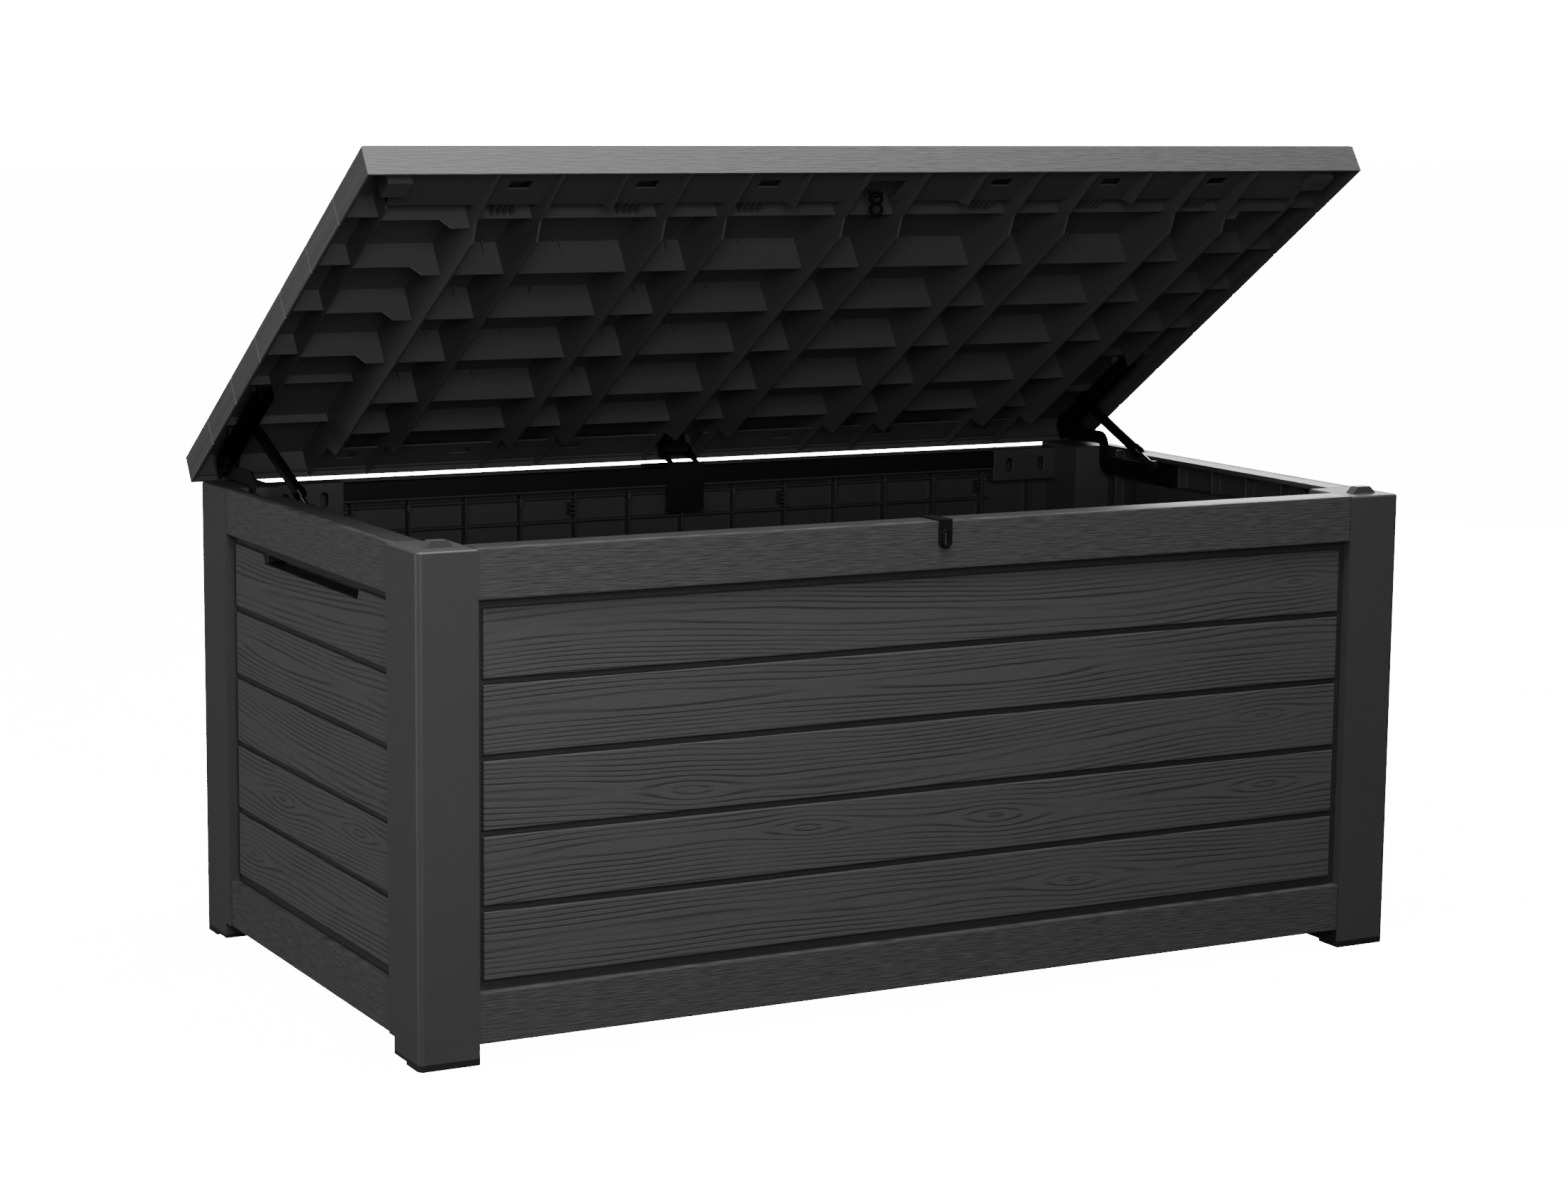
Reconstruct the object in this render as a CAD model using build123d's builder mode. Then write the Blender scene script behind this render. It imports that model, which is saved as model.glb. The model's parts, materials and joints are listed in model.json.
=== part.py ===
from build123d import *
import os
from math import cos, hypot, radians, sin

# Deck storage box, in millimetres. X runs along the front, the front faces -Y, Z is up from the floor.
# The lid stands open on its gas struts, and the frame's origin lies under the middle of the open box.

# Overall sizes
box_length = 1500.0
box_depth = 816.0
rim_height = 654.0
lid_open_angle = 33.0

# Corner posts and foot caps
post_width = 82.0
post_depth = 102.0
post_wall = 3.5
post_round = 8.0
leg_depth = 84.0
foot_height = 9.0
foot_toe = 44.0
foot_step = 4.0
foot_plug = 26.0
post_edge = 2.0
stop_length = 40.0
stop_width = 16.0
stop_slope = 9.0
stop_gap = 0.5

# Wall mouldings, with depths measured in from the outer face of the posts
skin = 3.0
rail_back = 3.0
board_back = 12.0
skin_back = 17.0
rib_back = 36.0
ledge_reach = 12.0
ground_gap = 26.0
bottom_rail = 66.0
top_rail = 64.0
rail_gap = 11.7
board_gap = 6.5
board_count = 5
board_taper = 14.0
board_end_gap = 10.0
rib_thickness = 2.5
rib_pitch = 92.0
rim_lip = 7.0
rear_rim_drop = 6.0
hinge_cut = 112.0
inner_rail_drop = 9.0
inner_rail_pitch = 36.0
inner_rail_reach = 9.0
wall_fin_length = 10.0
wall_fin_pitch = 7.0
wall_fin_count = 3
peg_width = 6.0
peg_height = 9.0
screw_tube_places = (34.0, 78.0)
screw_tube_drop = 20.0
screw_tube_radius = 8.0
screw_tube_bore = 3.5
screw_tube_depth = 12.0

# Hand grips in the side walls
grip_length = 376.0
grip_slant = 12.0
grip_into_board = 14.0
grip_slot = 12.0
grip_pocket_height = 48.0
grip_pocket_back = 44.0

# Floor panels
floor_top = 49.0
floor_thickness = 3.5
floor_rib = 18.0
floor_rib_pitch = 177.0
floor_ledge_back = 60.0
floor_play = 1.0

# Steel beam along the top of the rear wall
beam_depth = 24.0
beam_height = 25.0
beam_wall = 2.0
beam_block_length = 118.0
block_slot_height = 22.0
block_slot_width = 11.0

# Hinge axis, side hinge plates and struts
hinge_inset = 6.0
hinge_rise = 14.0
hinge_pin_radius = 4.0
hinge_eye_radius = 10.0
pin_play = 0.3
plate_thickness = 3.0
plate_height = 28.0
plate_length = 206.0
plate_drop = 14.0
neck_width = 21.0
neck_clear = 2.0
neck_bend = 22.0
neck_inner_bend = 4.0
strut_clear = 2.5
strut_lid_reach = 94.0
strut_lid_rise = 12.0
strut_foot_reach = 281.0
strut_foot_drop = 12.0
tube_radius = 8.0
tube_cap = 18.0
collar_radius = 9.5
collar_length = 12.0
rod_radius = 3.5
rod_eye_radius = 8.0
eye_width = 8.0
stud_radius = 4.0
stud_gap = 1.0
pin_head = 1.5
screw_head_radius = 6.0
screw_head_height = 3.0
screw_head_sides = 6
plate_screw_shares = (0.1, 0.52, 0.94)

# Lid moulding, measured from the hinge axis in the lid's own plane
lid_gap = 10.0
lid_height = 44.0
lid_over_front = 3.0
lid_over_rear = 19.0
lid_over_side = 10.0
lid_skin = 3.5
lid_deck = 4.0
lid_edge = 4.0
lid_boards = 7
groove_width = 6.0
groove_depth = 2.5
long_rib = 3.5
cross_rib = 2.5
rib_pitch_lid = 89.6
end_bay = 134.0
rib_depth = 67.0
cross_rib_depth = 48.0
front_strip = 102.0
rear_strip = 95.0
shoulder = 24.0
strip_rib_depth = 40.0
strip_rib_fall = 10.0
short_rib_length = 72.0
channel_rib_depth = 34.0
end_rib_depth = 12.0
end_step = 28.0
end_step_depth = 35.0
end_wall_inset = 57.0
end_web_depth = 30.0
gusset_reach = 6.0
gusset_depth = 46.0
strip_drop = 30.0
strip_plate = 2.5
front_plate = 92.0
rear_plate = 66.0
strip_slot_length = 30.0
strip_slot_width = 18.0
strip_slot_setback = 44.0
edge_slot_length = 28.0
edge_slot_width = 9.0
edge_slot_setback = 13.0
channel_fin_pitch = 9.0
channel_fins = 4
notch_clear = 4.0
skirt_groove = 2.0
skirt_lip = 6.0
skirt_lip_rise = 7.0
pad_size = 34.0
pad_inset = 18.0

# Lid hinge bars
bar_width = 21.0
bar_sheet = 2.5
bar_length = 215.0
bar_top = 22.5
bar_low = 4.0
bar_screw_places = (0.28, 0.85)
boss_radius = 9.0

# Centre hinge
centre_width = 60.0
centre_plate_drop = 70.0
centre_ear_gap = 40.0
centre_leaf_length = 62.0
wing_length = 34.0

# Hasp strap and lid lock
strap_width = 20.0
strap_sheet = 2.5
strap_drop = 37.0
strap_eye = 6.0
strap_eye_height = 18.0
eye_rim = 3.0
lock_from_front = 54.0
lock_width = 46.0
lock_depth = 26.0
lock_height = 14.0
wire_radius = 1.6
wire_sides = 6
bail_width = 24.0
bail_length = 24.0
lug_thickness = 4.0
link_radius = 10.0
link_hole = 5.5
link_thickness = 2.0
link_pitch = 15.0
link_play = 1.5
link_turn = 50.0

# Values worked out from the sizes above
half_length = box_length / 2
open_cos = cos(radians(lid_open_angle))
open_sin = sin(radians(lid_open_angle))
lid_low = lid_gap - hinge_rise
lid_top = lid_low + lid_height
lid_under = lid_top - lid_deck
lid_rear = hinge_inset + lid_over_rear
lid_front = -(box_depth - hinge_inset + lid_over_front)
lid_half = half_length + lid_over_side
y_front = -(box_depth - hinge_inset + lid_rear * open_cos + lid_top * open_sin) / 2
y_rear = y_front + box_depth
y_middle = (y_front + y_rear) / 2
y_hinge = y_rear - hinge_inset
z_hinge = rim_height + hinge_rise
rear_rim = rim_height - rear_rim_drop
board_height = (rim_height - ground_gap - bottom_rail - top_rail - 2 * rail_gap
                - (board_count - 1) * board_gap) / board_count
board_low = ground_gap + bottom_rail + rail_gap
front_half = half_length - post_width
side_half = box_depth / 2 - post_depth
floor_under = floor_top - floor_thickness
wall_back = rib_back + ledge_reach
plate_x = half_length - rib_back
bar_x = plate_x - plate_thickness / 2
strut_x = bar_x - bar_width / 2 - strut_clear - collar_radius

# Planes of the four walls, seen from outside, with local x along the wall and local y up
front_wall = Plane(origin=(0, y_front, 0), x_dir=(1, 0, 0), z_dir=(0, -1, 0))
rear_wall = Plane(origin=(0, y_rear, 0), x_dir=(-1, 0, 0), z_dir=(0, 1, 0))
left_wall = Plane(origin=(-half_length, y_middle, 0), x_dir=(0, -1, 0), z_dir=(-1, 0, 0))
right_wall = Plane(origin=(half_length, y_middle, 0), x_dir=(0, 1, 0), z_dir=(1, 0, 0))

# The lid's own plane through the hinge axis: local y runs to the rear, local z up through the lid
lid_plane = Plane(origin=(0, y_hinge, z_hinge), x_dir=(1, 0, 0), z_dir=(0, open_sin, open_cos))

sides = (("left", -1), ("right", 1))


def lid_point(rearward, upward):
    """World y and z of a point given in the lid's own plane."""
    y = y_hinge + rearward * open_cos + upward * open_sin
    z = z_hinge + upward * open_cos - rearward * open_sin
    return y, z


def side_view(x):
    """Plane across the box at x, with local x to the rear and local y up."""
    return Plane(origin=(x, 0, 0), x_dir=(0, 1, 0), z_dir=(1, 0, 0))


def lid_side(x):
    """Plane across the lid at x, with local x to the rear and local y up through the lid."""
    return Plane(origin=(x, y_hinge, z_hinge), x_dir=(0, open_cos, -open_sin), z_dir=(1, 0, 0))


def lid_cross(rearward):
    """Plane along the lid at a place front to back, facing the front, with local y up through the lid."""
    return Plane(origin=(0, *lid_point(rearward, 0)), x_dir=(1, 0, 0), z_dir=(0, -open_cos, open_sin))


def bars(plane, low, high, spans, mode=Mode.ADD):
    """Rectangular bars on a plane: spans of local x and y, between two heights over the plane."""
    with BuildSketch(plane.offset(low)) as outline:
        for left, right, lower, upper in spans:
            with Locations(((left + right) / 2, (lower + upper) / 2)):
                Rectangle(right - left, upper - lower)
    extrude(outline.sketch, amount=high - low, mode=mode)


def plate(planes, thickness, points, mode=Mode.ADD):
    """Flat plates of one straight-sided outline, one on each plane."""
    with BuildSketch(*planes) as outline:
        with BuildLine():
            Polyline(*points, close=True)
        make_face()
    extrude(outline.sketch, amount=thickness, mode=mode)


def discs(plane, low, high, radius, centres, mode=Mode.ADD):
    """Round bars or holes of one radius, between two heights over a plane."""
    with BuildSketch(plane.offset(low)) as outline:
        with Locations(*centres):
            Circle(radius)
    extrude(outline.sketch, amount=high - low, mode=mode)


def save(part, name):
    """Label one piece and write it under its node's name."""
    part.label = name
    export_step(part, f"parts/{name}.step")


def even_steps(half, pitch):
    """Places spaced evenly about the middle of a wall, near the pitch asked for."""
    count = max(2, round(2 * half / pitch))
    return [-half + (index + 0.5) * 2 * half / count for index in range(count)]


def wall_body(plane, half, rim, rib_top):
    """Skin, rails, raised boards, inner ribs and floor ledge of a wall moulding."""
    full = (-half, half)
    rail_low = rim_height - top_rail
    bars(plane, -skin_back - skin, -skin_back, [(*full, ground_gap, rim)])
    bars(plane, -rail_back - skin, -rail_back,
         [(*full, rail_low, rim), (*full, ground_gap, ground_gap + bottom_rail)])
    bars(plane, -skin_back, -rail_back - skin,
         [(*full, rail_low, rail_low + skin),
          (*full, rim - skin, rim),
          (*full, ground_gap + bottom_rail - skin, ground_gap + bottom_rail),
          (*full, ground_gap, ground_gap + skin)])
    with BuildSketch(plane.offset(-skin_back)) as boards:
        for index in range(board_count):
            middle = board_low + board_height / 2 + index * (board_height + board_gap)
            with Locations((0, middle)):
                Rectangle(2 * (half - board_end_gap), board_height)
    extrude(boards.sketch, amount=skin_back - board_back, taper=board_taper)
    ribs = [(place - rib_thickness / 2, place + rib_thickness / 2, floor_top + floor_play, rib_top)
            for place in even_steps(half, rib_pitch)]
    bars(plane, -rib_back, -skin_back - skin, ribs)
    bars(plane, -floor_ledge_back, -skin_back - skin, [(*full, floor_under - skin, floor_under)])


def rim_flange(plane, left, right, rim):
    """Flat ledge round the opening, with a lip turned down along its inner edge."""
    bars(plane, -wall_back, -skin_back - skin, [(left, right, rim - skin, rim)])
    bars(plane, -wall_back, -wall_back + skin, [(left, right, rim - rim_lip, rim - skin)])


def corner_post(side, end):
    """Hollow corner column, with its outer edge rounded and its leg narrower under the side rail."""
    x_outer = side * half_length
    y_outer = y_middle + end * box_depth / 2
    x_centre = x_outer - side * post_width / 2
    y_centre = y_outer - end * post_depth / 2
    with BuildPart() as post:
        with BuildSketch(Plane.XY.offset(foot_height)) as outline:
            with Locations((x_centre, y_centre)):
                Rectangle(post_width, post_depth)
            fillet(outline.vertices().sort_by_distance((x_outer, y_outer))[0], post_round)
        extrude(amount=rim_height - foot_height)
        chamfer(post.edges().group_by(Axis.Z)[-1], post_edge)
        with BuildSketch(Plane.XY.offset(foot_height)):
            with Locations((x_centre, y_centre)):
                Rectangle(post_width - 2 * post_wall, post_depth - 2 * post_wall)
        extrude(amount=rim_height - foot_height - post_wall, mode=Mode.SUBTRACT)
        with BuildSketch(Plane.XY.offset(foot_height)):
            with Locations((x_centre, y_outer - end * (leg_depth + post_depth) / 2)):
                Rectangle(post_width, post_depth - leg_depth)
        extrude(amount=ground_gap - foot_height, mode=Mode.SUBTRACT)
        with BuildSketch(Plane.XY.offset(foot_height)):
            with Locations((x_centre, y_outer - end * (leg_depth - post_wall / 2))):
                Rectangle(post_width, post_wall)
        extrude(amount=ground_gap - foot_height)
        with BuildSketch(Plane.XY.offset(foot_height)):
            with Locations((x_outer - side * (post_width - post_wall / 2), y_outer - end * leg_depth / 2)):
                Rectangle(post_wall, leg_depth - 2 * post_wall)
        extrude(amount=ground_gap - foot_height, mode=Mode.SUBTRACT)
        with BuildSketch(Plane.XY.offset(ground_gap)):
            with Locations((x_centre, y_outer - end * (leg_depth + post_depth - post_wall) / 2)):
                Rectangle(post_width - post_wall, post_depth - leg_depth + post_wall)
        extrude(amount=post_wall)
        if end < 0:
            lid_stop(x_centre)
    return post.part


def lid_stop(x_centre):
    """Sloped block on a front post that the shut lid's corner pad meets."""
    top = rim_height + lid_gap - stop_gap
    middle = y_front - lid_over_front + lid_skin + pad_inset + pad_size / 2
    half = stop_length / 2
    plate([front_wall.offset(-middle + y_front - stop_width / 2)], stop_width,
          [(x_centre - half, rim_height), (x_centre + half, rim_height),
           (x_centre + half - stop_slope, top), (x_centre - half + stop_slope, top)])


def foot_cap(side, end):
    """Black cap plugged into a leg, closing its inner side, with a toe lower than its heel."""
    x_outer = side * half_length
    y_outer = y_middle + end * box_depth / 2
    x_centre = x_outer - side * post_width / 2
    y_centre = y_outer - end * leg_depth / 2
    with BuildPart() as cap:
        with BuildSketch() as outline:
            with Locations((x_centre, y_centre)):
                Rectangle(post_width, leg_depth)
            fillet(outline.vertices().sort_by_distance((x_outer, y_outer))[0], post_round)
        extrude(amount=foot_height)
        with BuildSketch():
            with Locations((x_centre, y_outer - end * (leg_depth + foot_toe) / 2)):
                Rectangle(post_width, leg_depth - foot_toe)
        extrude(amount=foot_step, mode=Mode.SUBTRACT)
        with BuildSketch(Plane.XY.offset(foot_height)):
            with Locations((x_centre, y_centre)):
                Rectangle(post_width - 2 * post_wall, leg_depth - 2 * post_wall)
        extrude(amount=foot_plug)
        with BuildSketch(Plane.XY.offset(foot_height)):
            with Locations((x_outer - side * (post_width - post_wall / 2), y_centre)):
                Rectangle(post_wall, leg_depth - 2 * post_wall)
        extrude(amount=ground_gap - foot_height)
    return cap.part


def front_wall_panel():
    """Front wall moulding with its rim ledge."""
    with BuildPart() as panel:
        wall_body(front_wall, front_half, rim_height, rim_height - skin)
        rim_flange(front_wall, -front_half, front_half, rim_height)
    return panel.part


def rear_wall_panel():
    """Rear wall moulding with end blocks and a shelf that carry the steel beam."""
    beam_half = front_half - beam_block_length
    shelf = rear_rim - skin - beam_height
    block_low = rear_rim - 2 * beam_height
    with BuildPart() as panel:
        wall_body(rear_wall, front_half, rear_rim, shelf - skin)
        bars(rear_wall, -skin_back - skin - beam_depth, -skin_back - skin,
             [(-front_half, front_half, shelf - skin, shelf)])
        for low, high in ((-front_half, -beam_half), (beam_half, front_half)):
            bars(rear_wall, -skin_back - skin - beam_depth, -skin_back - skin,
                 [(low, high, block_low, rear_rim)])
            bars(rear_wall, -skin_back - beam_depth, -skin_back - skin,
                 [(low + skin, high - skin, block_low, rear_rim - skin)], Mode.SUBTRACT)
            middle = (low + high) / 2
            with BuildSketch(rear_wall.offset(-skin_back - skin - beam_depth)) as slots:
                with Locations((middle - beam_block_length / 4, rear_rim - beam_height),
                               (middle + beam_block_length / 4, rear_rim - beam_height)):
                    SlotOverall(block_slot_height, block_slot_width, rotation=90)
            extrude(slots.sketch, amount=skin, mode=Mode.SUBTRACT)
        rear_wall_rails(beam_half, shelf - skin - inner_rail_drop)
    return panel.part


def rear_wall_rails(half, top):
    """Two thin rails under the beam's shelf, pegs hung from the upper one, and fins beside the ribs."""
    face = -skin_back - skin
    places = [place for place in even_steps(front_half, rib_pitch) if abs(place) < half]
    bars(rear_wall, face - inner_rail_reach, face,
         [(-half, half, rail - skin, rail) for rail in (top, top - inner_rail_pitch)])
    bars(rear_wall, -rib_back, face - inner_rail_reach,
         [(place - peg_width / 2, place + peg_width / 2, top - peg_height, top) for place in places[1::2]])
    fins = []
    for place in places[::4]:
        for level in range(wall_fin_count):
            high = top - skin - (level + 1) * wall_fin_pitch
            fins.append((place, place + wall_fin_length, high - rib_thickness, high))
    bars(rear_wall, -rib_back, face, fins)


def side_wall_panel(plane, side):
    """Side wall moulding with hand grip, rim ledge cut short at the hinge, and screw tubes."""
    rail_low = rim_height - top_rail
    notch_low = rail_low - rail_gap - grip_into_board
    pocket_half = grip_length / 2
    pocket_low = notch_low - skin
    screw_height = rim_height - screw_tube_drop
    rear = side * side_half
    front = -rear
    flange_end = rear - side * hinge_cut
    with BuildPart() as panel:
        wall_body(plane, side_half, rim_height, rim_height - skin)
        rim_flange(plane, min(front, flange_end), max(front, flange_end), rim_height)
        bars(plane, -grip_pocket_back, -skin_back - skin,
             [(-pocket_half - skin, pocket_half + skin, pocket_low, pocket_low + grip_pocket_height)])
        bars(plane, -grip_pocket_back + skin, -skin_back - skin,
             [(-pocket_half, pocket_half, pocket_low + skin, pocket_low + grip_pocket_height - skin)],
             Mode.SUBTRACT)
        bars(plane, -skin_back - skin, -skin_back,
             [(-pocket_half + grip_slant, pocket_half - grip_slant, notch_low, notch_low + grip_slot)],
             Mode.SUBTRACT)
        plate([plane.offset(-skin_back)], skin_back - board_back,
              [(-pocket_half, rail_low), (-pocket_half + grip_slant, notch_low),
               (pocket_half - grip_slant, notch_low), (pocket_half, rail_low)], Mode.SUBTRACT)
        tubes = [(front + side * place, screw_height) for place in screw_tube_places]
        discs(plane, -rib_back, -skin_back - skin, screw_tube_radius, tubes)
        discs(plane, -rib_back, -rib_back + screw_tube_depth, screw_tube_bore, tubes, Mode.SUBTRACT)
    return panel.part


def floor_panel(side):
    """One half of the floor, resting on the wall ledges, notched round the posts and ribbed below."""
    reach = half_length - rib_back - floor_play
    y_low = y_front + rib_back + floor_play
    y_high = y_rear - rib_back - floor_play
    rib_half = rib_thickness / 2
    rib_x = half_length - floor_ledge_back - floor_play
    rib_low = y_front + floor_ledge_back + floor_play
    rib_high = y_rear - floor_ledge_back - floor_play
    with BuildPart() as panel:
        bars(Plane.XY, floor_under, floor_top,
             [(min(0, side * reach), max(0, side * reach), y_low, y_high)])
        notch_inner = half_length - post_width - floor_play
        for low, high in ((y_low, y_front + post_depth + floor_play),
                          (y_rear - post_depth - floor_play, y_high)):
            bars(Plane.XY, floor_under, floor_top,
                 [(min(side * notch_inner, side * reach), max(side * notch_inner, side * reach), low, high)],
                 Mode.SUBTRACT)
        lengthwise = [(min(0, side * rib_x), max(0, side * rib_x),
                       y_middle + place - rib_half, y_middle + place + rib_half)
                      for place in even_steps((rib_high - rib_low) / 2, floor_rib_pitch)
                      if abs(place) < box_depth / 2 - post_depth]
        count = round(rib_x / floor_rib_pitch)
        places = [side * rib_x * (index + 0.5) / count for index in range(count)]
        across = [(place - rib_half, place + rib_half, y_front + post_depth, y_rear - post_depth)
                  for place in places]
        bars(Plane.XY, floor_under - floor_rib, floor_under, lengthwise + across)
    return panel.part


def steel_beam():
    """Open-ended steel box section between the rear wall's end blocks."""
    beam_half = front_half - beam_block_length
    shelf = rear_rim - skin - beam_height
    y_high = y_rear - skin_back - skin
    with BuildPart() as beam:
        bars(Plane.XY, shelf, shelf + beam_height, [(-beam_half, beam_half, y_high - beam_depth, y_high)])
        bars(Plane.XY, shelf + beam_wall, shelf + beam_height - beam_wall,
             [(-beam_half, beam_half, y_high - beam_depth + beam_wall, y_high - beam_wall)], Mode.SUBTRACT)
    return beam.part


def hinge_plate(side):
    """Steel plate on the side wall's ribs: a strap with a neck that carries the hinge eye over the post."""
    x_low = min(side * plate_x, side * (plate_x - plate_thickness))
    top = rim_height - plate_drop
    bottom = top - plate_height
    neck_front = y_rear - post_depth - neck_clear
    neck_back = neck_front - neck_width
    band_low = z_hinge - hinge_eye_radius
    band_high = z_hinge + hinge_eye_radius
    front = neck_front - plate_length
    foot_y = y_hinge - strut_foot_reach
    foot_z = rim_height - strut_foot_drop
    stud_end = strut_x + eye_width / 2 + stud_gap
    with BuildPart() as hinge:
        with BuildSketch(side_view(x_low)) as outline:
            with BuildLine():
                Polyline((front, bottom), (neck_front, bottom), (neck_front, band_low), (y_hinge, band_low),
                         (y_hinge, band_high), (neck_back, band_high), (neck_back, top), (front, top),
                         close=True)
            make_face()
            for corner, bend in (((neck_front, bottom), neck_width),
                                 ((neck_front, band_low), neck_inner_bend),
                                 ((neck_back, band_high), neck_bend),
                                 ((neck_back, top), neck_bend / 2)):
                fillet(outline.vertices().sort_by_distance(corner)[0], bend)
        extrude(outline.sketch, amount=plate_thickness)
        discs(side_view(x_low), 0, plate_thickness, hinge_eye_radius, [(y_hinge, z_hinge)])
        discs(side_view(x_low), 0, plate_thickness, rod_eye_radius, [(foot_y, foot_z)])
        discs(side_view(x_low), 0, plate_thickness, hinge_pin_radius, [(y_hinge, z_hinge)], Mode.SUBTRACT)
        reach = (side * stud_end, side * (plate_x - plate_thickness / 2))
        discs(side_view(min(reach)), 0, max(reach) - min(reach), stud_radius, [(foot_y, foot_z)])
    return hinge.part


def hinge_pin(side):
    """Pin held in the hinge plate's eye, with the lid bar's two flanges turning on its ends."""
    half = bar_width / 2 + pin_head
    with BuildPart() as pin:
        discs(side_view(side * bar_x - half), 0, 2 * half, hinge_pin_radius, [(y_hinge, z_hinge)])
    return pin.part


def lid_bar(side):
    """Steel channel under the lid: a web, two flanges that straddle the hinge eye, and the strut's stud."""
    middle = side * bar_x
    eye = hinge_eye_radius - stud_gap
    outline = [(eye, -eye), (-2 * eye, -eye), (-4 * eye, bar_low), (-bar_length, bar_low),
               (-bar_length, bar_top), (0, bar_top), (eye, bar_top - eye)]
    flanges = [lid_side(middle - bar_width / 2), lid_side(middle + bar_width / 2 - bar_sheet)]
    stud = (side * (strut_x - eye_width / 2 - pin_head), middle - side * (bar_width / 2 - bar_sheet / 2))
    with BuildPart() as bar:
        plate(flanges, bar_sheet, outline)
        bars(lid_plane, bar_top - bar_sheet, bar_top,
             [(middle - bar_width / 2, middle + bar_width / 2, -bar_length, 0)])
        discs(lid_side(middle - bar_width), 0, 2 * bar_width, hinge_pin_radius + pin_play, [(0, 0)],
              Mode.SUBTRACT)
        discs(lid_side(min(stud)), 0, max(stud) - min(stud), stud_radius,
              [(-strut_lid_reach, strut_lid_rise)])
    return bar.part


def strut_line():
    """The strut's upper stud, lower stud and length with the lid open."""
    top_y, top_z = lid_point(-strut_lid_reach, strut_lid_rise)
    foot_y = y_hinge - strut_foot_reach
    foot_z = rim_height - strut_foot_drop
    return top_y, top_z, foot_y, foot_z, hypot(foot_y - top_y, foot_z - top_z)


def closed_strut_length():
    """Distance between the strut's studs with the lid shut."""
    return hypot(strut_foot_reach - strut_lid_reach, hinge_rise + strut_lid_rise + strut_foot_drop)


def strut_tube(side):
    """Gas strut's tube with its upper eye and the collar at its lower end."""
    top_y, top_z, foot_y, foot_z, length = strut_line()
    along = (0, (foot_y - top_y) / length, (foot_z - top_z) / length)
    axis = Plane(origin=(side * strut_x, top_y, top_z), x_dir=(1, 0, 0), z_dir=along)
    tube_end = closed_strut_length() - rod_eye_radius - stud_gap
    eye = side_view(side * strut_x - eye_width / 2)
    with BuildPart() as tube:
        discs(axis, stud_radius, tube_end, tube_radius, [(0, 0)])
        discs(axis, tube_end - collar_length, tube_end, collar_radius, [(0, 0)])
        discs(axis, tube_cap, tube_end, rod_radius + pin_play, [(0, 0)], Mode.SUBTRACT)
        discs(eye, 0, eye_width, tube_radius, [(top_y, top_z)])
        discs(eye, -eye_width, 2 * eye_width, stud_radius + pin_play, [(top_y, top_z)], Mode.SUBTRACT)
    return tube.part


def strut_rod(side):
    """Chromed rod that slides in the tube, with the lower eye."""
    top_y, top_z, foot_y, foot_z, length = strut_line()
    along = (0, (foot_y - top_y) / length, (foot_z - top_z) / length)
    axis = Plane(origin=(side * strut_x, top_y, top_z), x_dir=(1, 0, 0), z_dir=along)
    travel = length - closed_strut_length()
    eye = side_view(side * strut_x - eye_width / 2)
    with BuildPart() as rod:
        discs(axis, tube_cap + travel + stud_gap, length, rod_radius, [(0, 0)])
        discs(eye, 0, eye_width, rod_eye_radius, [(foot_y, foot_z)])
    return rod.part


def centre_hinge_base():
    """Steel bracket on the beam's inner face, with two ears reaching back to the hinge axis."""
    inner = y_rear - skin_back - skin - beam_depth
    shelf_top = rear_rim
    ear_out = centre_ear_gap / 2 + plate_thickness
    with BuildPart() as base:
        bars(Plane.XY, shelf_top - centre_plate_drop, shelf_top + plate_thickness,
             [(-centre_width / 2, centre_width / 2, inner - plate_thickness, inner)])
        bars(Plane.XY, shelf_top, shelf_top + plate_thickness,
             [(-centre_width / 2 - wing_length, centre_width / 2,
               inner - plate_thickness, inner + beam_depth)])
        plate([side_view(-ear_out), side_view(ear_out - plate_thickness)], plate_thickness,
              [(inner, shelf_top - plate_thickness), (inner, shelf_top + stud_gap),
               (y_hinge, z_hinge - hinge_eye_radius), (y_hinge, z_hinge + hinge_eye_radius),
               (inner - plate_thickness, shelf_top + plate_thickness),
               (inner - plate_thickness, shelf_top - plate_thickness)])
        for ear in (-ear_out, ear_out - plate_thickness):
            discs(side_view(ear), 0, plate_thickness, hinge_eye_radius, [(y_hinge, z_hinge)])
        discs(side_view(-ear_out), 0, 2 * ear_out, hinge_pin_radius, [(y_hinge, z_hinge)], Mode.SUBTRACT)
    return base.part


def centre_pin():
    """Pin held in the centre hinge's ears."""
    half = centre_ear_gap / 2 + plate_thickness + pin_head
    with BuildPart() as pin:
        discs(side_view(-half), 0, 2 * half, hinge_pin_radius, [(y_hinge, z_hinge)])
    return pin.part


def centre_hinge_leaf():
    """Lid half of the centre hinge: a knuckle on the pin and a leaf up to the lid."""
    half = centre_ear_gap / 2 - stud_gap
    knuckle = hinge_eye_radius - pin_head
    with BuildPart() as leaf:
        bars(lid_plane, 0, lid_under, [(-half, half, -knuckle, knuckle)])
        bars(lid_plane, lid_under - plate_thickness, lid_under, [(-half, half, -centre_leaf_length, knuckle)])
        discs(lid_side(-half), 0, 2 * half, knuckle, [(0, 0)])
        discs(lid_side(-half), 0, 2 * half, hinge_pin_radius + pin_play, [(0, 0)], Mode.SUBTRACT)
    return leaf.part


def rib_places():
    """Long ribs come in pairs and a short rib fills the gap between pairs, out from the middle."""
    long_places = []
    short_places = []
    place = rib_pitch_lid / 2
    index = 0
    while place < lid_half - end_bay:
        group = short_places if index % 3 == 1 else long_places
        group += [-place, place]
        place += rib_pitch_lid
        index += 1
    return long_places, short_places


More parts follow.
